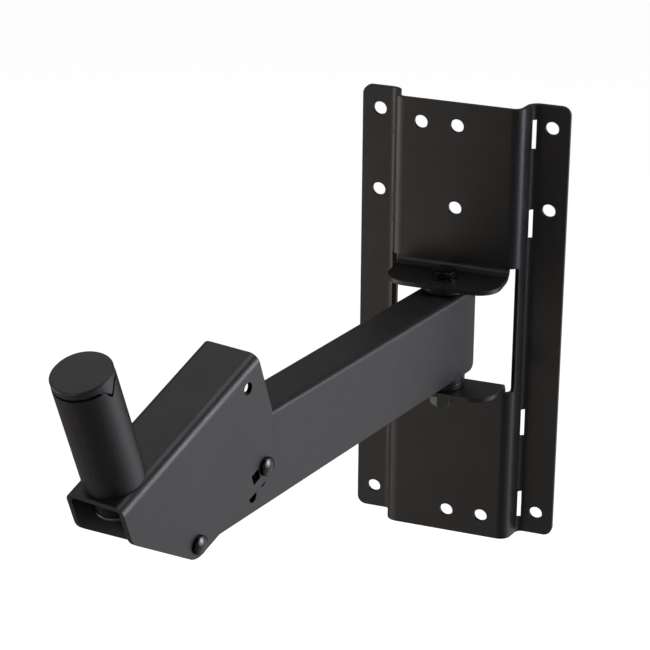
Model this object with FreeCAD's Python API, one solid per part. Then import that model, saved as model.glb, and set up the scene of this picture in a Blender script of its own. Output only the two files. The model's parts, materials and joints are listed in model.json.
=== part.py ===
import FreeCAD
import Part
import math
import os

V = FreeCAD.Vector

# Wall plate, a hat-shaped folded sheet. X is along the wall, Z is up and the wall is the plane Y = 0.
plate_width = 138.0
plate_height = 300.0
plate_depth = 20.0
plate_sheet = 3.0
plate_bend = 5.0
plate_fold = 80.0
plate_corner = 6.0
panel_half = 35.6

# Screw holes of the wall plate, measured from its edges where they follow an edge
screw_hole = 9.0
screw_x = 57.35
screw_end_margin = 15.0
screw_z_mid = 80.0
panel_hole_x = 24.0

# Slots along the flange bends, which weaken the sheet where it is folded
bend_slot_length = 20.0
bend_slot_low = 60.0
bend_slot_end_margin = 10.0
bend_slot_from = 22.0
bend_slot_to = 58.0

# Window and the two ears that are folded forward out of it
window_side = 65.0
window_corner = 2.0
ear_half = 37.5
ear_inner_z = 35.5
ear_reach = 52.0
ear_corner = 15.0

# Swivel joint, a vertical bolt through both ears
swivel_y = 35.9
swivel_angle = -12.86
swivel_bolt = 10.0
swivel_flats = 16.0
swivel_head = 6.3
swivel_tip = 1.0
swivel_washer = 2.0
swivel_washer_width = 20.0
swivel_nut = 7.6
swivel_nut_turn = 20.0
swivel_collar = 1.9
swivel_recess = 0.4
ring_width = 29.0
ring_thickness = 4.5
ring_bevel = 0.5
sleeve_width = 16.0

# Proportions of hexagon heads and lock nuts, as shares of the width across flats
hexagon_face = 0.94
hexagon_bevel = 30.0
collar_share = 0.88

# Arm, a folded channel that a welded bottom plate closes. Its own Y runs from the head to the wall.
arm_width = 30.0
arm_height = 57.2
arm_low = -26.3
arm_sheet = 2.5
arm_bend = 1.0
arm_tail = 13.5
arm_tail_corner = 5.0
arm_nose = 12.0
arm_nose_corner = 7.5
bottom_plate_start = 10.0

# Tilt joint at the arm's far end
tilt_reach = 294.5
tilt_z = -20.4
tilt_angle = 19.63
tilt_bolt = 6.0
tilt_spacer_width = 10.0

# Two arc slots in each side of the arm, about the tilt axis, and the span that both leave to the lock bolt
slot_width = 7.0
outer_slot_radius = 68.9
outer_slot_from = 8.6
slot_pitch = 10.3
inner_slot_from = 3.9
slot_span = 25.0

# Head bracket, a folded channel astride the arm. Its own Y is along the web and its own Z along the pole.
head_width = 38.8
head_sheet = 3.0
head_bend = 3.0
head_top = 69.6
head_front = 47.2
head_low = 7.9
head_heel_drop = 2.0
heel_past_slot = 3.6
back_past_slot = 17.1
head_heel_rise = 35.4
head_nose_slope = 51.1
head_nose_offset = 9.3
head_nose_corner = 13.0
head_lobe = 14.0
head_heel_corner = 3.0

# Holes in the cheeks, besides the tilt bolt's
lock_angle = -0.85
spare_angle = -0.6
square_hole = 6.4
spare_hole = 6.8
safety_hole = 7.5
safety_from_back = 14.9
safety_from_top = 13.5

# Cup-head bolts, washers and lock nuts of the head
cup_width = 11.6
cup_height = 3.7
head_bolt_tip = 0.8
head_washer = 1.4
head_washer_width = 12.5
nut_flats = 10.0
nut_height = 5.0
nut_collar = 1.5
bolt_spare = 2.0
friction_washer = 1.15
friction_washer_width = 13.0

# Pole, a tube that stands on the web over a spigot through it, and its plug-in cap
pole_width = 35.0
pole_wall = 2.5
pole_back = -27.4
pole_top = 138.3
spigot_wall = 2.5
spigot_under = 14.3
spigot_rise = 20.0
cap_gap = 1.6
cap_rim = 4.2
cap_bevel = 0.7
cap_inset = 0.2
cap_plug = 12.0
cap_wall = 2.0
notch_half = 5.4
notch_depth = 5.9
tooth_gap = 1.8

# Clearances between pieces that move on each other
running = 0.05
bolt_play = 0.25
side_play = 0.25

# How far every cutter reaches past the piece it cuts
overcut = 1.0

# Values that follow from the driving dimensions
fold = math.radians(plate_fold)
plate_outer_bend = plate_bend + plate_sheet
fold_drop = (plate_bend + plate_outer_bend) * (1 - math.cos(fold))
web_run = (plate_depth - plate_sheet - fold_drop) / math.sin(fold)
flange_start = panel_half + (plate_bend + plate_outer_bend) * math.sin(fold) + web_run * math.cos(fold)
ear_outer_z = ear_inner_z + plate_sheet
window_half = ear_outer_z + plate_bend
arm_top = arm_low + arm_height
inner_slot_radius = outer_slot_radius - slot_pitch
head_heel = outer_slot_radius + heel_past_slot
head_back = outer_slot_radius + back_past_slot
arm_swivel = FreeCAD.Placement(V(0, -swivel_y, 0), FreeCAD.Rotation(V(0, 0, 1), swivel_angle))
arm_to_head = FreeCAD.Placement(V(0, -tilt_reach, tilt_z), FreeCAD.Rotation(V(1, 0, 0), tilt_angle))
head_tilt = arm_swivel.multiply(arm_to_head)
cheek = head_width / 2
cheek_inner = cheek - head_sheet
pole_radius = pole_width / 2
pole_bore = pole_radius - pole_wall

TURNS = {
    "xy": FreeCAD.Rotation(V(0, 0, 1), 0),
    "xz": FreeCAD.Rotation(V(1, 0, 0), 90),
    "yz": FreeCAD.Rotation(V(1, 1, 1), 120),
}


def ray(angle):
    """Unit vector in the drawing plane, angle in degrees from its first direction."""
    return V(math.cos(math.radians(angle)), math.sin(math.radians(angle)), 0)


def prism(wire, plane, low, high):
    """Solid between two levels over an outline that is drawn in the named plane."""
    solid = Part.Face(wire).extrude(V(0, 0, high - low))
    solid.translate(V(0, 0, -high if plane == "xz" else low))
    solid.rotate(V(0, 0, 0), TURNS[plane].Axis, math.degrees(TURNS[plane].Angle))
    return solid


def arc_edge(centre, radius, start, turn):
    """Arc about a centre, from a start angle through a turn, in degrees."""
    points = [centre + ray(start + turn * part) * radius for part in (0, 0.5, 1)]
    return Part.Arc(*points).toShape()


def line_edge(first, second):
    return Part.LineSegment(first, second).toShape()


def outline(corners):
    """Closed outline from (u, v, radius) corners, each rounded by its own radius."""
    count = len(corners)
    cuts = []
    for index in range(count):
        here = V(corners[index][0], corners[index][1], 0)
        before = V(corners[index - 1][0], corners[index - 1][1], 0)
        after = V(corners[(index + 1) % count][0], corners[(index + 1) % count][1], 0)
        into = (here - before).normalize()
        away = (after - here).normalize()
        radius = corners[index][2]
        if radius == 0:
            cuts.append((here, None, here))
            continue
        turn = into.getAngle(away)
        back = radius * math.tan(turn / 2)
        middle = (away - into).normalize()
        centre = here + middle * (radius / math.cos(turn / 2))
        cuts.append((here - into * back, centre - middle * radius, here + away * back))
    edges = []
    for index in range(count):
        start, through, end = cuts[index]
        if through is not None:
            edges.append(Part.Arc(start, through, end).toShape())
        edges.append(line_edge(end, cuts[(index + 1) % count][0]))
    return Part.Wire(edges)


def folded_strip(start, heading, steps, sheet):
    """Section of a folded sheet: its right-hand face is walked, and the sheet lies to the left of it.

    A step is a run's length, or a (turn, inner radius) pair where a left turn is positive.
    """
    right = []
    left = []
    place = V(start[0], start[1], 0)
    for step in steps:
        side = ray(heading + 90)
        if isinstance(step, tuple):
            turn, inner = step
            near, far = (inner + sheet, inner) if turn > 0 else (inner, inner + sheet)
            centre = place + side * near if turn > 0 else place - side * near
            begin = heading - 90 if turn > 0 else heading + 90
            right.append(arc_edge(centre, near, begin, turn))
            left.append(arc_edge(centre, far, begin, turn))
            heading += turn
            place = centre + ray(begin + turn) * near
        else:
            there = place + ray(heading) * step
            right.append(line_edge(place, there))
            left.append(line_edge(place + side * sheet, there + side * sheet))
            place = there
    first = V(start[0], start[1], 0)
    open_end = left[0].Vertexes[0].Point
    close_end = left[-1].Vertexes[-1].Point
    ends = [line_edge(first, open_end), line_edge(place, close_end)]
    return Part.Wire(Part.__sortEdges__(right + left + ends))


def arc_slot(centre, radius, width, start, span):
    """Outline of a round-ended slot that follows a circle."""
    first = centre + ray(start) * radius
    last = centre + ray(start + span) * radius
    edges = [
        arc_edge(centre, radius + width / 2, start, span),
        arc_edge(last, width / 2, start + span, 180),
        arc_edge(centre, radius - width / 2, start + span, -span),
        arc_edge(first, width / 2, start + 180, 180),
    ]
    return Part.Wire(edges)


def square(u, v, side, turn=0):
    """Outline of a square about a point."""
    points = [V(u, v, 0) + ray(45 + 90 * index + turn) * (side / math.sqrt(2)) for index in range(5)]
    return Part.makePolygon(points)


def rod(radius, low, high):
    """Cylinder on the Z axis."""
    return Part.makeCylinder(radius, high - low, V(0, 0, low))


def ring(outer, bore, low, high):
    return rod(outer, low, high).cut(rod(bore, low - overcut, high + overcut))


def turned(profile):
    """Solid of revolution about Z from (radius, height) points, the first and last on the axis."""
    points = [V(radius, 0, height) for radius, height in profile]
    return Part.Face(Part.makePolygon(points + points[:1])).revolve(V(0, 0, 0), V(0, 0, 1), 360)


def hexagon(flats, low, high, bevelled_low):
    """Hexagon bar whose corners are bevelled at its upper or lower end."""
    corner = flats / math.sqrt(3)
    face = flats * hexagon_face / 2
    drop = (corner - face) * math.tan(math.radians(hexagon_bevel))
    points = [ray(60 * index) * corner for index in range(7)]
    bar = prism(Part.makePolygon(points), "xy", low, high)
    if bevelled_low:
        blank = turned([(0, low), (face, low), (corner, low + drop), (corner, high), (0, high)])
    else:
        blank = turned([(0, low), (corner, low), (corner, high - drop), (face, high), (0, high)])
    return bar.common(blank)


def lock_nut(flats, bore, height, collar):
    """Hexagon nut from z = 0 down, with the round collar of its nylon insert at the far end."""
    body = hexagon(flats, -height, 0, True).fuse(rod(flats * collar_share / 2, -height - collar, -height))
    return body.cut(rod(bore, -height - collar - overcut, overcut)).removeSplitter()


def across(shape, x, y, z):
    """Turn a piece made on the Z axis onto the X axis and put its origin at a point."""
    shape = shape.copy()
    shape.rotate(V(0, 0, 0), V(0, 1, 0), 90)
    shape.translate(V(x, y, z))
    return shape


def wall_plate():
    flange = plate_width / 2 - flange_start
    outward = (-plate_fold, plate_bend)
    inward = (plate_fold, plate_bend)
    steps = [flange, outward, web_run, inward, 2 * panel_half, inward, web_run, outward, flange]
    section = folded_strip((-plate_width / 2, -plate_sheet), 0, steps, plate_sheet)
    plate = prism(section, "xy", -plate_height / 2, plate_height / 2)
    half_width = plate_width / 2
    half_height = plate_height / 2
    corners = [(half_width, half_height), (-half_width, half_height),
               (-half_width, -half_height), (half_width, -half_height)]
    blank = outline([(x, z, plate_corner) for x, z in corners])
    plate = plate.common(prism(blank, "xz", -plate_depth - overcut, overcut))
    plate = plate.cut(window())
    plate = plate.makeFillet(window_corner, window_corner_edges(plate))
    ear = upper_ear()
    plate = plate.fuse([ear, ear.mirror(V(0, 0, 0), V(0, 0, 1))]).removeSplitter()
    return plate.cut(bend_slots() + screw_holes())


def bend_centre(side):
    """Centre line of the bend between the panel and a web, in plan."""
    return V(side * panel_half, -plate_depth + plate_outer_bend, 0)


def window():
    """Cutter for the window, whose two side cuts are square to the bent sheet."""
    reach = plate_outer_bend + overcut
    right = bend_centre(1)
    left = bend_centre(-1)
    right_tip = right + ray(window_side - 90) * reach
    left_tip = left + ray(-90 - window_side) * reach
    front = V(0, -plate_depth - reach - right_tip.y, 0)
    points = [right, right_tip, right_tip + front, left_tip + front, left_tip, left, right]
    return prism(Part.makePolygon(points), "xy", -window_half, window_half)


def window_corner_edges(plate):
    """Edges through the sheet at the four corners of the window."""
    middle = plate_bend + plate_sheet / 2
    spot = bend_centre(1) + ray(window_side - 90) * middle
    found = []
    for edge in plate.Edges:
        centre = edge.CenterOfMass
        level = abs(abs(centre.z) - window_half)
        gap = math.hypot(abs(centre.x) - spot.x, centre.y - spot.y)
        if level < 0.01 and gap < 0.05:
            found.append(edge)
    return found


def upper_ear():
    run = ear_reach - plate_depth - plate_bend
    strip = folded_strip((-plate_depth, window_half), -90, [(-90, plate_bend), run], plate_sheet)
    ear = prism(strip, "yz", -ear_half, ear_half)
    corners = [(ear_half, 0, 0), (-ear_half, 0, 0),
               (-ear_half, -ear_reach, ear_corner), (ear_half, -ear_reach, ear_corner)]
    ear = ear.common(prism(outline(corners), "xy", 0, window_half))
    hole = Part.makeCylinder(swivel_bolt / 2 + bolt_play, plate_height, V(0, -swivel_y, 0))
    return ear.cut(hole)


def bend_slots():
    """Cutters for the slots in the flange bends, with walls square to the bent sheet."""
    inner = plate_bend - overcut
    outer = plate_outer_bend + overcut
    cutters = []
    for side in (-1, 1):
        centre = V(side * flange_start, -plate_sheet - plate_bend, 0)
        first = 90 + side * bend_slot_from
        last = 90 + side * bend_slot_to
        points = [centre + ray(first) * inner, centre + ray(first) * outer,
                  centre + ray(last) * outer, centre + ray(last) * inner, centre + ray(first) * inner]
        for low in (bend_slot_low, plate_height / 2 - bend_slot_end_margin - bend_slot_length):
            cutter = prism(Part.makePolygon(points), "xy", low, low + bend_slot_length)
            cutters += [cutter, cutter.mirror(V(0, 0, 0), V(0, 0, 1))]
    return cutters


def screw_holes():
    end = plate_height / 2 - screw_end_margin
    spots = [(side * screw_x, z) for side in (-1, 1) for z in (end, screw_z_mid, -end)]
    spots += [(0, end), (0, screw_z_mid), (0, -end)]
    spots += [(-panel_hole_x, end), (panel_hole_x, -end)]
    length = plate_depth + 2 * overcut
    return [Part.makeCylinder(screw_hole / 2, length, V(x, overcut, z), V(0, -1, 0)) for x, z in spots]


def swivel_bolt_piece():
    """Hexagon bolt, from its head on the upper ear down through the lock nut."""
    end = -ear_outer_z - swivel_washer - swivel_nut - swivel_collar + swivel_recess
    radius = swivel_bolt / 2
    shank = turned([(0, ear_outer_z), (radius, ear_outer_z), (radius, end + swivel_tip),
                    (radius - swivel_tip, end), (0, end)])
    head = hexagon(swivel_flats, ear_outer_z, ear_outer_z + swivel_head, False)
    return head.fuse(shank).removeSplitter()


def spacer_ring(low, high):
    """Plastic ring on the swivel bolt, with its outer edges bevelled."""
    outer = ring_width / 2
    face = outer - ring_bevel
    blank = turned([(0, low), (face, low), (outer, low + ring_bevel),
                    (outer, high - ring_bevel), (face, high), (0, high)])
    return blank.cut(rod(swivel_bolt / 2 + bolt_play, low - overcut, high + overcut))


def swivel_pieces():
    """Bolt, rings, washer and nut, on the Z axis."""
    lower = -ear_inner_z
    nut = lock_nut(swivel_flats, swivel_bolt / 2, swivel_nut, swivel_collar)
    nut.rotate(V(0, 0, 0), V(0, 0, 1), swivel_nut_turn)
    nut.translate(V(0, 0, -ear_outer_z - swivel_washer))
    washer_bore = swivel_bolt / 2 + bolt_play
    return {
        "swivel_bolt": swivel_bolt_piece(),
        "upper_spacer_ring": spacer_ring(arm_top + side_play, ear_inner_z),
        "lower_spacer_ring": spacer_ring(lower, lower + ring_thickness),
        "middle_spacer_ring": spacer_ring(lower + ring_thickness, arm_low - side_play),
        "swivel_washer": ring(swivel_washer_width / 2, washer_bore, -ear_outer_z - swivel_washer, -ear_outer_z),
        "swivel_nut": nut,
    }


def channel(width, top, low, bend, sheet, first, last):
    """Folded channel open below, between two levels along its own Y."""
    wall = top - low - bend - sheet
    steps = [wall, (90, bend), width - 2 * (bend + sheet), (90, bend), wall]
    return prism(folded_strip((width / 2, low), 90, steps, sheet), "xz", first, last)


def arm():
    nose = -tilt_reach - arm_nose
    body = channel(arm_width, arm_top, arm_low, arm_bend, arm_sheet, nose, arm_tail)
    side = outline([(arm_tail, arm_top + overcut, 0), (nose, arm_top + overcut, 0),
                    (nose, arm_low, arm_nose_corner), (arm_tail, arm_low, arm_tail_corner)])
    body = body.common(prism(side, "yz", -arm_width, arm_width))
    pivot = V(-tilt_reach, tilt_z, 0)
    slots = [(inner_slot_radius, inner_slot_from), (outer_slot_radius, outer_slot_from)]
    cutters = [prism(arc_slot(pivot, radius, slot_width, start, slot_span), "yz", -arm_width, arm_width)
               for radius, start in slots]
    cutters.append(rod(swivel_bolt / 2 + running, 0, arm_top + overcut))
    cutters.append(tilt_bore(arm_width))
    return body.cut(cutters)


def arm_bottom_plate():
    """Plate welded between the arm's sides, from behind the tilt spacer to the tail."""
    half = arm_width / 2 - arm_sheet
    first = bottom_plate_start - tilt_reach
    length = arm_tail - arm_tail_corner - first
    plate = Part.makeBox(2 * half, length, arm_sheet, V(-half, first, arm_low))
    return plate.cut(rod(sleeve_width / 2 + running, arm_low - overcut, arm_low + arm_sheet + overcut))


def tilt_bore(half):
    """Running bore for the tilt bolt, in the arm's own frame."""
    bore = rod(tilt_bolt / 2 + running, -half, half)
    return across(bore, 0, -tilt_reach, tilt_z)


def swivel_sleeve():
    """Tube welded upright inside the arm, which turns on the swivel bolt."""
    return ring(sleeve_width / 2, swivel_bolt / 2 + running, arm_low, arm_top - arm_sheet)


def tilt_spacer():
    """Tube between the arm's sides that keeps the tightened tilt bolt from closing them."""
    half = arm_width / 2 - arm_sheet
    tube = across(rod(tilt_spacer_width / 2, -half, half), 0, -tilt_reach, tilt_z)
    return tube.cut(tilt_bore(half + overcut))


def lock_spot():
    return ray(lock_angle) * outer_slot_radius


def head_outline():
    """Side view of a cheek: lobe round the tilt bolt, sloping nose in front, flared heel at the back."""
    slope = math.radians(head_nose_slope)
    foot = head_nose_offset / math.sin(slope)
    nose_low = (head_low / math.tan(slope)) - foot
    nose_high = (head_front - foot) * math.tan(slope)
    top = head_top + overcut
    return outline([
        (-head_front, top, 0),
        (-head_front, nose_high, head_nose_corner),
        (nose_low, -head_low, head_lobe),
        (head_heel, -head_low - head_heel_drop, head_heel_corner),
        (head_back, head_heel_rise - head_low, head_heel_corner),
        (head_back, top, 0),
    ])


def head_bracket():
    low = -head_low - head_heel_drop - overcut
    body = channel(head_width, head_top, low, head_bend, head_sheet, -head_front - overcut, head_back + overcut)
    body = body.common(prism(head_outline(), "yz", -head_width, head_width))
    lock = lock_spot()
    spare = ray(spare_angle) * inner_slot_radius
    cutters = [
        prism(square(0, 0, square_hole), "yz", 0, head_width),
        prism(square(lock.x, lock.y, square_hole), "yz", 0, head_width),
        prism(square(spare.x, spare.y, spare_hole), "yz", 0, head_width),
        Part.makeCylinder(pole_bore, head_top, V(0, pole_back, head_top / 2)),
        across(rod(safety_hole / 2, -head_width, head_width), 0,
               head_back - safety_from_back, head_top - safety_from_top),
    ]
    plain = rod(tilt_bolt / 2 + bolt_play, -head_width, 0)
    cutters += [across(plain, 0, spot.x, spot.y) for spot in (V(0, 0, 0), lock)]
    cutters.append(across(rod(spare_hole / 2, -head_width, 0), 0, spare.x, spare.y))
    return body.cut(cutters)


def key_wedge(tip, high):
    """Triangular bar on the pole's right side that points down, for the notch and for the tooth in it."""
    half = (high - tip) * notch_half / notch_depth
    points = [V(-half, high, 0), V(0, tip, 0), V(half, high, 0), V(-half, high, 0)]
    return prism(Part.makePolygon(points), "yz", 0, pole_width)


def pole_tube():
    """Tube that stands on the web, with the notch for the cap's tooth in its upper end."""
    tube = ring(pole_radius, pole_bore, head_top, pole_top)
    tube = tube.cut(key_wedge(pole_top - notch_depth, pole_top + overcut))
    tube.translate(V(0, pole_back, 0))
    return tube


def pole_spigot():
    """Tube that fills the web's hole, holds the pole from inside and shows under the web."""
    low = head_top - head_sheet - spigot_under
    spigot = ring(pole_bore, pole_bore - spigot_wall, low, head_top + spigot_rise)
    spigot.translate(V(0, pole_back, 0))
    return spigot


def pole_cap():
    """Flat cap with a hollow plug inside the tube and a tooth that sits in the tube's notch."""
    rim = pole_top + cap_gap
    top = rim + cap_rim
    bore = pole_bore - cap_wall
    outer = pole_radius - cap_inset
    disc = turned([(0, rim), (outer, rim), (outer, top - cap_bevel), (outer - cap_bevel, top), (0, top)])
    plug = ring(pole_bore, bore, pole_top - cap_plug, rim)
    tip = pole_top - notch_depth + tooth_gap
    tooth = ring(outer, bore, tip, rim)
    cap = disc.fuse([plug, tooth.common(key_wedge(tip, rim))]).removeSplitter()
    cap.translate(V(0, pole_back, 0))
    return cap


def cup_bolt():
    """Cup-head bolt with a square neck, from its head on the right cheek to the left, on the X axis."""
    reach = head_width + head_washer + nut_height + nut_collar + bolt_spare
    radius = tilt_bolt / 2
    sphere = ((cup_width / 2) ** 2 + cup_height ** 2) / (2 * cup_height)
    rim_angle = math.degrees(math.asin((sphere - cup_height) / sphere))
    centre = V(0, cup_height - sphere, 0)
    dome = arc_edge(centre, sphere, rim_angle, 90 - rim_angle)
    edges = [line_edge(V(0, 0, 0), V(cup_width / 2, 0, 0)), dome, line_edge(V(0, cup_height, 0), V(0, 0, 0))]
    head = Part.Face(Part.Wire(edges)).revolve(V(0, 0, 0), V(0, 1, 0), 360)
    head.rotate(V(0, 0, 0), V(1, 0, 0), 90)
    neck = prism(square(0, 0, square_hole), "xy", -head_sheet, 0)
    shank = turned([(0, 0), (radius, 0), (radius, head_bolt_tip - reach),
                    (radius - head_bolt_tip, -reach), (0, -reach)])
    bolt = head.fuse([neck, shank]).removeSplitter()
    return across(bolt, cheek, 0, 0)


def head_nut():
    nut = lock_nut(nut_flats, tilt_bolt / 2, nut_height, nut_collar)
    return across(nut, -cheek - head_washer, 0, 0)


def across_ring(width, bore, low, high):
    return across(ring(width / 2, bore, low, high), 0, 0, 0)


def fastening(name, spot):
    """Bolt, washers and nut through both cheeks at a spot in the head's side view."""
    bore = tilt_bolt / 2 + bolt_play
    inner = cheek_inner - friction_washer
    pieces = {
        name + "_bolt": cup_bolt(),
        name + "_washer": across_ring(head_washer_width, bore, -cheek - head_washer, -cheek),
        name + "_nut": head_nut(),
        name + "_friction_washer_right": across_ring(friction_washer_width, bore, inner, cheek_inner),
        name + "_friction_washer_left": across_ring(friction_washer_width, bore, -cheek_inner, -inner),
    }
    for piece in pieces.values():
        piece.translate(V(0, spot.x, spot.y))
    return pieces


def placed(pieces, place):
    """The pieces moved from their own frame to the frame of the wall plate."""
    return {name: piece.transformed(place.toMatrix(), True) for name, piece in pieces.items()}


def all_pieces():
    swivel_place = FreeCAD.Placement(V(0, -swivel_y, 0), FreeCAD.Rotation())
    head = {"head_bracket": head_bracket(), "pole_tube": pole_tube(),
            "pole_spigot": pole_spigot(), "pole_cap": pole_cap()}
    head.update(fastening("tilt", V(0, 0, 0)))
    head.update(fastening("lock", lock_spot()))
    pieces = {"wall_plate": wall_plate()}
    pieces.update(placed(swivel_pieces(), swivel_place))
    arm_pieces = {"arm": arm(), "arm_bottom_plate": arm_bottom_plate(),
                  "swivel_sleeve": swivel_sleeve(), "tilt_spacer": tilt_spacer()}
    pieces.update(placed(arm_pieces, arm_swivel))
    pieces.update(placed(head, head_tilt))
    return pieces


os.makedirs("parts", exist_ok=True)
for node, shape in all_pieces().items():
    shape.exportStep(os.path.join("parts", node + ".step"))
    print(node, "solids", len(shape.Solids), "valid", shape.isValid(), "volume", round(shape.Volume, 1))
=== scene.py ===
"""Looks of a speaker wall bracket: satin powder coat, glossy bolts, plastic cap, nylon rings and studio."""

import json
import math

import bpy
from mathutils import Matrix, Vector


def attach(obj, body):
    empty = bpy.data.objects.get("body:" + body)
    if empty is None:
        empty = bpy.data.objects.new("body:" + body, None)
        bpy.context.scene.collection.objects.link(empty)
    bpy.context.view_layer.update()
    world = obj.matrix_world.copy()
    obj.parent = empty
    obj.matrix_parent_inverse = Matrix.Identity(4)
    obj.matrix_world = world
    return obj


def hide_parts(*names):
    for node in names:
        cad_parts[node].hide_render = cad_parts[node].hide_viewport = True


# Camera, fitted to the photograph: metres, degrees, and millimetres for the lens and the sensor
CAMERA_PLACE = (0.45373, -1.47285, 0.63358)
CAMERA_AZIMUTH = 20.435
CAMERA_ELEVATION = 22.674
CAMERA_ROLL = 0.448
CAMERA_LENS = 140.19
CAMERA_SENSOR = 36.0
CAMERA_REACH = 50.0

# Floor, in metres. Its colour is for the camera, and its bounce is the colour for all other light.
FLOOR_LEVEL = -1.4
FLOOR_SIZE = 14.0
FLOOR_COLOUR = (0.93, 0.93, 0.935)
FLOOR_BOUNCE = (0.1, 0.1, 0.1)
FLOOR_ROUGHNESS = 0.9
FLOOR_GLOW = 0.9

# Surroundings, as strengths where 1 is white
SEEN_LEVEL = 1.0
FILL_LEVEL = 0.07
DIM_LEVEL = 0.12
BRIGHT_LEVEL = 0.9
BRIGHT_SIDE = (0.76, 0.45, -0.46)
BRIGHT_SPREAD = 0.5

# Lamps: place, aim, width, height, power in watts, and colour
ARM_MIDDLE = (0, -0.2, 0)
KEY_COLOUR = (0.88, 0.86, 1.0)
WARM_COLOUR = (1.0, 0.92, 0.86)
WARMER_COLOUR = (1.0, 0.88, 0.78)
WHITE = (1, 1, 1)
LAMPS = {
    "key_right": ((2.125, 0.369, 0.15), ARM_MIDDLE, 2.1, 1.85, 24, KEY_COLOUR),
    "key_core": ((2.0, 0.336, 0.15), ARM_MIDDLE, 0.75, 0.9, 14, KEY_COLOUR),
    "side_left": ((-2.2, -0.95, -0.35), ARM_MIDDLE, 1.55, 1.45, 19, WARM_COLOUR),
    "front_left": ((-1.15, -1.75, -0.8), (0, 0, 0), 1.3, 1.2, 5.2, WARMER_COLOUR),
    "front_up": ((-0.75, -2.2, 0.9), ARM_MIDDLE, 1.4, 0.9, 5, WARM_COLOUR),
    "top_back": ((-0.95, 0.85, 1.8), ARM_MIDDLE, 1.8, 1.8, 5, WHITE),
    "overhead": ((0.5, 0.3, 2.3), ARM_MIDDLE, 1.5, 1.5, 13, WHITE),
}

# Coats. Clouds vary the colour and smudges the gloss. Noise is used between its low and high level.
CLOUD_SCALE = 26.0
SMUDGE_SCALE = 70.0
SMUDGE_LOW = 0.93
SMUDGE_HIGH = 1.07
NOISE_LOW = 0.3
NOISE_HIGH = 0.7
BUMP_STRENGTH = 0.6
EDGE_SAMPLES = 4
COAT_SPECULAR = 0.5
POWDER = {"base": (0.014, 0.0138, 0.0142), "rough": 0.4, "grain": 0.0012, "depth": 0.00014, "mottle": 0.2}

# All fasteners. The shares are of the width across flats, and the thread's depth is a share of its pitch.
COLLAR_SHARE = 0.44
FACE_SHARE = 0.47
BEVEL_SLOPE = 0.577
THREAD_DEPTH = 0.55
CHAMFER = 0.0003
SHARP_ANGLE = 35.0
INSERT_INSET = 0.0011
INSERT_PROUD = 0.0001
INSERT_HEIGHT = 0.0005

# Cup-head bolts of the head and their nuts. A thread is its start and end from the bolt's tip, and a
# nut its width across flats, height and collar.
CUP_RADIUS = 0.0058
CUP_HEIGHT = 0.0037
CUP_RIM = 0.0018
CUP_ROLL_IN = 0.00008
CUP_ROLL_UP = 0.00018
CUP_DOME = 0.0107
CUP_DOME_INSET = 0.0002
CUP_DOME_STEPS = 12
CUP_NECK = 0.006
CHEEK_SHEET = 0.003
HEAD_BOLT = 0.003
HEAD_PITCH = 0.001
HEAD_THREAD = (0.0003, 0.0093)
HEAD_NUT = (0.01, 0.005, 0.0015)
HEAD_NUT_TURN = 30.0

# Swivel bolt and its nut. The head stands lower than the one on the solid, whose height comes last.
SWIVEL_BOLT = 0.005
SWIVEL_PITCH = 0.0015
SWIVEL_THREAD = (0.0006, 0.0126)
SWIVEL_FLATS = 0.0144
SWIVEL_TURN = -79.5
SWIVEL_FLANGE = 0.0086
SWIVEL_FLANGE_SHEET = 0.0008
SWIVEL_HEAD = 0.0058
SWIVEL_NUT = (0.0138, 0.0088, 0.0007)
SWIVEL_NUT_TURN = -67.0
SWIVEL_SOLID_HEAD = 0.0063

# Head bracket and pole, in metres in the head's own frame, and the gloss taken off the head's inside as painted
# shade
POLE_RADIUS = 0.0175
POLE_BACK = -0.0274
POLE_TOP = 0.1383
WEB_TOP = 0.0696
WEB_SHEET = 0.003
WEB_UNDER = WEB_TOP - WEB_SHEET
HEAD_INSIDE = 0.0164
INSIDE_MARGIN = 0.00005
# Share of gloss taken off inside the head, as painted shade that darkens the hollow
INSIDE_SHADE_DULLING = 0.36

# Weld seam of the tube. Its profile is shares of half its width, each with a height over the tube.
SEAM_ANGLE = 4.5
SEAM_WIDTH = 0.0007
SEAM_PROFILE = ((-1, -0.00002), (-0.4, 0.00012), (0.4, 0.00012), (1, -0.00002))
SEAM_ROWS = 24

# Lip at the spigot's end and weld bead at its root
SPIGOT_RADIUS = 0.015
SPIGOT_UNDER = 0.0143
LIP_SIZE = 0.001
LIP_INSET = 0.0001
LIP_POINTS = 10
BEAD_SIZE = 0.001
BEAD_REACH = 0.9
BEAD_RISE = 0.8
BEAD_RIPPLE = 0.12
BEAD_RIPPLES = 36
BEAD_SIDES = 180
BEAD_POINTS = 8


def new_node(tree, kind, **values):
    """A shader node with its input sockets set by name."""
    node = tree.nodes.new(kind)
    for name, value in values.items():
        node.inputs[name.replace("_", " ")].default_value = value
    return node


def feed(tree, socket, value):
    """Set a socket to a number, or link it to the socket that gives the number."""
    if isinstance(value, float):
        socket.default_value = value
    else:
        tree.links.new(value, socket)


def arithmetic(tree, operation, first, second=0.0):
    """The result of a sum on numbers or on sockets that give numbers."""
    node = tree.nodes.new("ShaderNodeMath")
    node.operation = operation
    feed(tree, node.inputs[0], first)
    feed(tree, node.inputs[1], second)
    return node.outputs["Value"]


def dot_product(tree, source, direction):
    """How far the source reaches along a direction."""
    node = tree.nodes.new("ShaderNodeVectorMath")
    node.operation = "DOT_PRODUCT"
    node.inputs[1].default_value = direction
    tree.links.new(source, node.inputs[0])
    return node.outputs["Value"]


def blend(tree, choice, first, second):
    """The first number, or the second one where the choice is 1."""
    mix = tree.nodes.new("ShaderNodeMix")
    feed(tree, mix.inputs["Factor"], choice)
    feed(tree, mix.inputs["A"], first)
    feed(tree, mix.inputs["B"], second)
    return mix.outputs["Result"]


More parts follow.
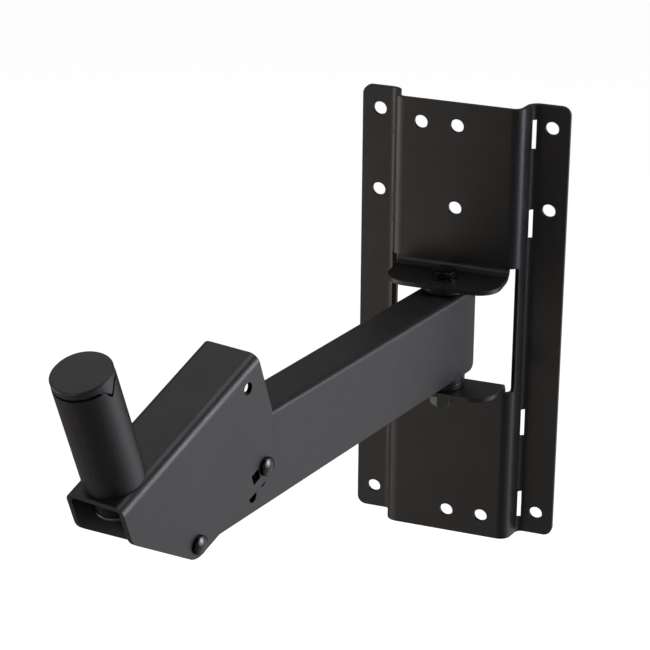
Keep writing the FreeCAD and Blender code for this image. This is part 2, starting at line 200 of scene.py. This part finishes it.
def ramp(tree, source, low, high, start=NOISE_LOW, end=NOISE_HIGH):
    """The source's range from start to end, spread over the range from low to high."""
    spread = new_node(tree, "ShaderNodeMapRange", From_Min=start, From_Max=end, To_Min=low, To_Max=high)
    tree.links.new(source, spread.inputs["Value"])
    return spread.outputs["Result"]


def coat(name, base, rough, grain, depth, metal=0.0, specular=COAT_SPECULAR, edge=0.0005, mottle=0.12):
    """Surface with a fine grain, cloudy variation of colour and gloss, and softened edges.

    grain is the size of the grain, depth its height and edge the radius of the edges, in metres.
    mottle is the share by which the colour varies.
    """
    material = bpy.data.materials.new(name)
    material.use_nodes = True
    tree = material.node_tree
    shader = tree.nodes["Principled BSDF"]
    shader.inputs["Metallic"].default_value = metal
    shader.inputs["Specular IOR Level"].default_value = specular
    place = tree.nodes.new("ShaderNodeTexCoord").outputs["Object"]

    clouds = new_node(tree, "ShaderNodeTexNoise", Scale=CLOUD_SCALE, Detail=4.0, Roughness=0.6)
    tree.links.new(place, clouds.inputs["Vector"])
    tint = tree.nodes.new("ShaderNodeMix")
    tint.data_type = "RGBA"
    tint.inputs["A"].default_value = [c * (1 - mottle) for c in base] + [1]
    tint.inputs["B"].default_value = [c * (1 + mottle) for c in base] + [1]
    tree.links.new(ramp(tree, clouds.outputs["Fac"], 0.0, 1.0), tint.inputs["Factor"])
    tree.links.new(tint.outputs["Result"], shader.inputs["Base Color"])

    smudges = new_node(tree, "ShaderNodeTexNoise", Scale=SMUDGE_SCALE, Detail=3.0, Roughness=0.55)
    tree.links.new(place, smudges.inputs["Vector"])
    gloss_range = ramp(tree, smudges.outputs["Fac"], rough * SMUDGE_LOW, rough * SMUDGE_HIGH)
    tree.links.new(gloss_range, shader.inputs["Roughness"])

    soft_edge = new_node(tree, "ShaderNodeBevel", Radius=edge)
    soft_edge.samples = EDGE_SAMPLES
    fine = new_node(tree, "ShaderNodeTexNoise", Scale=1.0 / grain, Detail=2.0, Roughness=0.5)
    tree.links.new(place, fine.inputs["Vector"])
    bump = new_node(tree, "ShaderNodeBump", Strength=BUMP_STRENGTH, Distance=depth)
    tree.links.new(fine.outputs["Fac"], bump.inputs["Height"])
    tree.links.new(soft_edge.outputs["Normal"], bump.inputs["Normal"])
    tree.links.new(bump.outputs["Normal"], shader.inputs["Normal"])
    return material


def paint(names, material):
    """Give nodes one material."""
    for name in names:
        mesh = frame["nodes"][name].data
        mesh.materials.clear()
        mesh.materials.append(material)


def shade_inside_by_dulling(material, node):
    """Take the gloss off the inside of the folded head: painted shade that darkens the hollow under the web."""
    tree = material.node_tree
    place = tree.nodes.new("ShaderNodeTexCoord").outputs["Object"]
    turn = head_matrix().inverted() @ frame["nodes"][node].matrix_world
    side, height = [arithmetic(tree, "ADD", dot_product(tree, place, row[:3]), row[3])
                    for row in (turn[0], turn[2])]
    between = arithmetic(tree, "LESS_THAN", arithmetic(tree, "ABSOLUTE", side), HEAD_INSIDE + INSIDE_MARGIN)
    under = arithmetic(tree, "LESS_THAN", height, WEB_UNDER + INSIDE_MARGIN)
    inside = arithmetic(tree, "MULTIPLY", between, under)
    loss = arithmetic(tree, "MULTIPLY", inside, INSIDE_SHADE_DULLING)
    shader = tree.nodes["Principled BSDF"]
    tree.links.new(arithmetic(tree, "SUBTRACT", COAT_SPECULAR, loss), shader.inputs["Specular IOR Level"])


def joint(name):
    """A joint of the model by its name."""
    return next(found for found in frame["joints"] if found["name"] == name)


def mount(name):
    """A mount in the record by its name."""
    return next(found for found in frame["record"]["mounts"] if found["name"] == name)


def head_matrix():
    """From the head's own frame, X along the tilt bolt and Z along the pole, to the frame of the model."""
    across = Vector(joint("tilt")["axis"]).normalized()
    up = Vector(mount("speaker_pole")["axis"]).normalized()
    back = up.cross(across)
    turn = Matrix((across, back, up)).transposed().to_4x4()
    return Matrix.Translation(Vector(joint("tilt")["pos_m"])) @ turn


def pole_place(height):
    """Matrix on the pole's axis, at a height over the tilt bolt."""
    return head_matrix() @ Matrix.Translation((0, POLE_BACK, height))


def local_box(node, place):
    """Low and high corners of a node in the frame of a matrix."""
    piece = frame["nodes"][node]
    turn = place.inverted() @ piece.matrix_world
    points = [turn @ vertex.co for vertex in piece.data.vertices]
    return (Vector([min(point[axis] for point in points) for axis in range(3)]),
            Vector([max(point[axis] for point in points) for axis in range(3)]))


def axis_place(node, place):
    """Matrix whose Z axis runs along a bolt or nut that lies on X, from its low end, and its length."""
    low, high = local_box(node, place)
    centre = (low + high) / 2
    turn = Matrix.Rotation(math.radians(90), 4, "Y")
    return place @ Matrix.Translation((low.x, centre.y, centre.z)) @ turn, high.x - low.x


def swivel_place(node):
    """Matrix on the swivel axis at the low end of a node, and the node's height."""
    place = Matrix.Translation(Vector(joint("swivel")["pos_m"]))
    low, high = local_box(node, place)
    return place @ Matrix.Translation((0, 0, low.z)), high.z - low.z


def add_mesh(name, vertices, faces, material, body, slot):
    """A smooth piece of the object that rides on a body."""
    mesh = bpy.data.meshes.new(name)
    mesh.from_pydata(vertices, [], faces)
    mesh.update()
    mesh.materials.append(material)
    mesh.shade_smooth()
    piece = bpy.data.objects.new(name, mesh)
    bpy.context.scene.collection.objects.link(piece)
    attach(piece, body)
    return piece


def sharp_piece(node, shape, material, body):
    """A fastener with crisp edges, in place of its node."""
    piece = add_mesh(node + "_detailed", *shape, material, body, "black_fastener")
    piece.data.set_sharp_from_angle(angle=math.radians(SHARP_ANGLE))
    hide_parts(node)


def on_circle(radius, angle, height):
    """Point on a circle about Z."""
    return Vector((radius * math.cos(angle), radius * math.sin(angle), height))


def grid_faces(rows, columns, closed_rows, closed_columns):
    """Faces between rows of vertices. What is closed runs on from its last to its first."""
    faces = []
    for row in range(rows if closed_rows else rows - 1):
        first = row * columns
        second = (row + 1) % rows * columns
        for column in range(columns if closed_columns else columns - 1):
            after = (column + 1) % columns
            faces.append((first + column, first + after, second + after, second + column))
    return faces


def hexagon_reach(angle, flats, turn):
    """Distance from the axis to a hexagon whose first flat faces the turn."""
    step = math.pi / 3
    return flats / 2 / math.cos((angle - turn + step / 2) % step - step / 2)


def turned(rows, place, closed, flats=0.0, turn=0.0, sides=96):
    """Vertices and faces of rows of (radius, height) turned about Z, then moved by a matrix.

    A row with radius 0 follows the hexagon, and its third value is the slope of the bevel there.
    A closed profile makes a ring, and an open one a solid whose two ends are capped.
    """
    vertices = []
    for radius, height, *slope in rows:
        for side in range(sides):
            angle = 2 * math.pi * side / sides
            reach = radius or hexagon_reach(angle, flats, turn)
            rise = slope[0] * (reach - flats * FACE_SHARE) if slope else 0
            vertices.append(place @ on_circle(reach, angle, height + rise))
    faces = grid_faces(len(rows), sides, closed, True)
    if not closed:
        last = (len(rows) - 1) * sides
        faces.append(tuple(reversed(range(sides))))
        faces.append(tuple(range(last, last + sides)))
    return vertices, faces


def thread_rows(radius, pitch, start, end):
    """Rows of a screw thread and of the plain tip before it."""
    core = radius - pitch * THREAD_DEPTH
    count = round((end - start) / pitch * 2)
    rows = [(core, 0.0)]
    for row in range(1, count + 1):
        rows.append((core if row % 2 else radius, start + (end - start) * row / count))
    return rows


def cup_bolt(name, place, material):
    """Cup-head bolt with a low dome over a rim, a neck and a thread at its end."""
    place, length = axis_place(name, place)
    under = length - CUP_HEIGHT
    rim = under + CUP_RIM
    neck = CUP_NECK / 2
    rows = thread_rows(HEAD_BOLT, HEAD_PITCH, *HEAD_THREAD)
    rows += [(HEAD_BOLT, under - CHEEK_SHEET), (neck, under - CHEEK_SHEET), (neck, under),
             (CUP_RADIUS - CHAMFER, under), (CUP_RADIUS, under + CHAMFER), (CUP_RADIUS, rim),
             (CUP_RADIUS - CUP_ROLL_IN, rim + CUP_ROLL_UP)]
    widest = math.asin((CUP_RADIUS - CUP_DOME_INSET) / CUP_DOME)
    for step in range(CUP_DOME_STEPS):
        angle = widest * (CUP_DOME_STEPS - step) / CUP_DOME_STEPS
        rows.append((CUP_DOME * math.sin(angle), length - CUP_DOME + CUP_DOME * math.cos(angle)))
    sharp_piece(name, turned(rows, place, False), material, "head_body")


def lock_nut(name, place, bore, size, turn, material, body):
    """Hexagon lock nut with bevelled corners, a collar at its low end and a nylon ring in it."""
    flats, height, collar = size
    face = flats * FACE_SHARE
    edge = flats * COLLAR_SHARE
    top = height + collar
    rows = [(bore, 0.0), (edge - CHAMFER, 0.0), (edge, CHAMFER), (edge, collar), (face, collar),
            (0, collar, BEVEL_SLOPE), (0, top, -BEVEL_SLOPE), (face, top), (bore, top)]
    sharp_piece(name, turned(rows, place, True, flats, math.radians(turn)), material, body)
    outer = edge - INSERT_INSET
    rows = [(bore, -INSERT_PROUD), (outer, -INSERT_PROUD), (outer, INSERT_HEIGHT), (bore, INSERT_HEIGHT)]
    add_mesh(name + "_insert", *turned(rows, place, True), nylon, body, "black_fastener")


def flange_bolt(name, material):
    """Hexagon bolt with a thin flange under its head and a thread at its end."""
    place, length = swivel_place(name)
    under = length - SWIVEL_SOLID_HEAD
    over = under + SWIVEL_FLANGE_SHEET
    top = under + SWIVEL_HEAD
    rows = thread_rows(SWIVEL_BOLT, SWIVEL_PITCH, *SWIVEL_THREAD)
    rows += [(SWIVEL_BOLT, under), (SWIVEL_FLANGE, under), (SWIVEL_FLANGE, over),
             (0, over), (0, top, -BEVEL_SLOPE), (SWIVEL_FLATS * FACE_SHARE, top)]
    shape = turned(rows, place, False, SWIVEL_FLATS, math.radians(SWIVEL_TURN))
    sharp_piece(name, shape, material, "wall_body")


def pole_seam(material):
    """Fine weld seam down the front of the tube."""
    place = pole_place(0)
    vertices = []
    for row in range(SEAM_ROWS + 1):
        level = WEB_TOP + (POLE_TOP - WEB_TOP) * row / SEAM_ROWS
        for part, lift in SEAM_PROFILE:
            angle = math.radians(SEAM_ANGLE - 90) + part * SEAM_WIDTH / 2 / POLE_RADIUS
            vertices.append(place @ on_circle(POLE_RADIUS + lift, angle, level))
    faces = grid_faces(SEAM_ROWS + 1, len(SEAM_PROFILE), False, False)
    add_mesh("pole_weld_seam", vertices, faces, material, "head_body", "powder_coat")


def weld_bead(material):
    """Rippled weld round the spigot, under the web."""
    place = pole_place(WEB_UNDER)
    vertices = []
    for side in range(BEAD_SIDES):
        angle = 2 * math.pi * side / BEAD_SIDES
        size = BEAD_SIZE * (1 + BEAD_RIPPLE * math.sin(BEAD_RIPPLES * angle))
        for point in range(BEAD_POINTS):
            turn = -2 * math.pi * point / BEAD_POINTS
            reach = SPIGOT_RADIUS + size * BEAD_REACH * math.cos(turn)
            vertices.append(place @ on_circle(reach, angle, size * BEAD_RISE * math.sin(turn)))
    faces = grid_faces(BEAD_SIDES, BEAD_POINTS, True, True)
    add_mesh("pole_weld_bead", vertices, faces, material, "head_body", "powder_coat")


def spigot_lip(material):
    """Rounded rim at the lower end of the spigot."""
    place = pole_place(WEB_UNDER - SPIGOT_UNDER)
    rows = []
    for point in range(LIP_POINTS):
        angle = 2 * math.pi * point / LIP_POINTS
        rows.append((SPIGOT_RADIUS - LIP_INSET + LIP_SIZE * math.cos(angle), LIP_SIZE * math.sin(angle)))
    add_mesh("pole_spigot_lip", *turned(rows, place, True), material, "head_body", "powder_coat")


def studio_level(tree, direction, diffuse, seen):
    """Brightness of the surroundings: one level for diffuse light and one for the camera.

    In reflections the room is white on its bright side and dim elsewhere.
    """
    unit = tree.nodes.new("ShaderNodeVectorMath")
    unit.operation = "NORMALIZE"
    tree.links.new(direction, unit.inputs[0])
    facing = dot_product(tree, unit.outputs["Vector"], Vector(BRIGHT_SIDE).normalized())
    near = ramp(tree, facing, 0.0, 1.0, BRIGHT_SPREAD, 1.0)
    reflected = blend(tree, arithmetic(tree, "MULTIPLY", near, near), DIM_LEVEL, BRIGHT_LEVEL)
    path = tree.nodes.new("ShaderNodeLightPath")
    level = blend(tree, path.outputs["Is Glossy Ray"], diffuse, reflected)
    level = blend(tree, path.outputs["Is Transmission Ray"], level, seen)
    return blend(tree, path.outputs["Is Camera Ray"], level, seen)


def floor_material():
    """Pale floor that glows for the camera and in reflections, darker only where the object shades it."""
    material = bpy.data.materials.new("pale_floor")
    material.use_nodes = True
    tree = material.node_tree
    shader = tree.nodes["Principled BSDF"]
    shade = tree.nodes.new("ShaderNodeMix")
    shade.data_type = "RGBA"
    shade.inputs["A"].default_value = (*FLOOR_BOUNCE, 1)
    shade.inputs["B"].default_value = (*FLOOR_COLOUR, 1)
    tree.links.new(tree.nodes.new("ShaderNodeLightPath").outputs["Is Camera Ray"], shade.inputs["Factor"])
    tree.links.new(shade.outputs["Result"], shader.inputs["Base Color"])
    shader.inputs["Roughness"].default_value = FLOOR_ROUGHNESS
    shader.inputs["Specular IOR Level"].default_value = 0.0
    shader.inputs["Emission Color"].default_value = (1, 1, 1, 1)
    place = tree.nodes.new("ShaderNodeTexCoord").outputs["Object"]
    tree.links.new(studio_level(tree, place, 0.0, FLOOR_GLOW), shader.inputs["Emission Strength"])
    return material


def studio():
    """White surroundings and a pale floor."""
    world = bpy.data.worlds.new("studio")
    bpy.context.scene.world = world
    world.use_nodes = True
    tree = world.node_tree
    background = tree.nodes["Background"]
    direction = tree.nodes.new("ShaderNodeTexCoord").outputs["Generated"]
    tree.links.new(studio_level(tree, direction, FILL_LEVEL, SEEN_LEVEL), background.inputs["Strength"])
    background.inputs["Color"].default_value = (1, 1, 1, 1)

    half = FLOOR_SIZE / 2
    mesh = bpy.data.meshes.new("floor")
    corners = [(-half, -half), (half, -half), (half, half), (-half, half)]
    mesh.from_pydata([(x, y, FLOOR_LEVEL) for x, y in corners], [], [(0, 1, 2, 3)])
    floor = bpy.data.objects.new("floor", mesh)
    bpy.context.scene.collection.objects.link(floor)
    mesh.materials.append(floor_material())


def lamp(name, place, aim, width, height, power, colour):
    """Soft oval lamp that faces a point."""
    light = bpy.data.lights.new(name, "AREA")
    light.shape = "ELLIPSE"
    light.size = width
    light.size_y = height
    light.energy = power
    light.color = colour
    holder = bpy.data.objects.new(name, light)
    holder.location = place
    direction = Vector(aim) - Vector(place)
    holder.rotation_euler = direction.to_track_quat("-Z", "Y").to_euler()
    bpy.context.scene.collection.objects.link(holder)


def camera():
    """Camera at the photograph's view."""
    azimuth = math.radians(CAMERA_AZIMUTH)
    elevation = math.radians(CAMERA_ELEVATION)
    roll = math.radians(CAMERA_ROLL)
    level = math.cos(elevation)
    back = Vector((math.sin(azimuth) * level, -math.cos(azimuth) * level, math.sin(elevation)))
    right = Vector((0, 0, 1)).cross(back).normalized()
    up = back.cross(right)
    rolled_right = right * math.cos(roll) + up * math.sin(roll)
    rolled_up = up * math.cos(roll) - right * math.sin(roll)
    turn = Matrix((rolled_right, rolled_up, back)).transposed().to_4x4()
    lens = bpy.data.cameras.new("camera")
    lens.lens = CAMERA_LENS
    lens.sensor_width = CAMERA_SENSOR
    lens.clip_end = CAMERA_REACH
    holder = bpy.data.objects.new("camera", lens)
    holder.matrix_world = Matrix.Translation(CAMERA_PLACE) @ turn
    bpy.context.scene.collection.objects.link(holder)
    bpy.context.scene.camera = holder


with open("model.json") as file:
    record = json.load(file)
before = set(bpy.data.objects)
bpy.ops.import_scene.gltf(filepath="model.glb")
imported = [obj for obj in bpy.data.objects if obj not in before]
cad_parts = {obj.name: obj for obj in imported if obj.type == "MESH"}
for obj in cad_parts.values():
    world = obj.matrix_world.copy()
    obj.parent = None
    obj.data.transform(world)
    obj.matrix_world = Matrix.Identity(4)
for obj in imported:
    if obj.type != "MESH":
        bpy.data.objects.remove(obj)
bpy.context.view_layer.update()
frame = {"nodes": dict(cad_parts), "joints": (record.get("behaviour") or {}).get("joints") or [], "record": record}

# Base colour, roughness, and size and depth of the grain
powder = coat("powder_coat", **POWDER)
powder_with_painted_shade = coat("head_powder_coat_painted_shade", **POWDER)
satin = coat("pole_satin", (0.012, 0.0118, 0.0122), 0.38, 0.0012, 0.0001)
gloss = coat("black_gloss", (0.003, 0.003, 0.0032), 0.12, 0.003, 0.00001, specular=0.55, edge=0.0003)
zinc = coat("dull_zinc", (0.145, 0.152, 0.13), 0.34, 0.0008, 0.00002, metal=1.0, edge=0.0004)
steel = coat("bare_steel", (0.45, 0.45, 0.46), 0.38, 0.0006, 0.00003, metal=1.0)
worn = coat("worn_rim", (0.085, 0.084, 0.088), 0.34, 0.0012, 0.00002, metal=1.0)
# Dull primer is painted shade: a dark, dull coat on the spigot and the weld bead under the web, where shade falls
shade_primer = coat("painted_shade_primer", (0.005, 0.005, 0.005), 0.6, 0.0009, 0.00003, specular=0.15)
nylon = coat("black_nylon", (0.01, 0.01, 0.011), 0.28, 0.0009, 0.00002, specular=0.6)
plastic = coat("cap_plastic", (0.02, 0.0195, 0.021), 0.38, 0.0011, 0.0001, edge=0.0008)

paint(["wall_plate", "arm", "arm_bottom_plate"], powder)
paint(["head_bracket"], powder_with_painted_shade)
# Painted shade: the inside of the head loses gloss so that it renders darker
shade_inside_by_dulling(powder_with_painted_shade, "head_bracket")
paint(["pole_tube"], satin)
# Painted shade on the spigot's wall under the web
paint(["pole_spigot"], shade_primer)
paint([node for node in frame["nodes"] if node.endswith(("_bolt", "_nut", "_washer"))], gloss)
paint([node for node in frame["nodes"] if "spacer_ring" in node or "friction" in node], nylon)
paint(["swivel_sleeve", "tilt_spacer"], steel)
paint(["pole_cap"], plastic)

pole_seam(powder)
weld_bead(shade_primer)
spigot_lip(worn)
head = head_matrix()
for bolt, nut in (("tilt_bolt", "tilt_nut"), ("lock_bolt", "lock_nut")):
    cup_bolt(bolt, head, gloss)
    lock_nut(nut, axis_place(nut, head)[0], HEAD_BOLT, HEAD_NUT, HEAD_NUT_TURN, gloss, "head_body")
flange_bolt("swivel_bolt", gloss)
swivel_end = swivel_place("swivel_nut")[0]
lock_nut("swivel_nut", swivel_end, SWIVEL_BOLT, SWIVEL_NUT, SWIVEL_NUT_TURN, zinc, "wall_body")

studio()
for name, values in LAMPS.items():
    lamp(name, *values)
camera()
bpy.context.scene.view_settings.view_transform = "Standard"
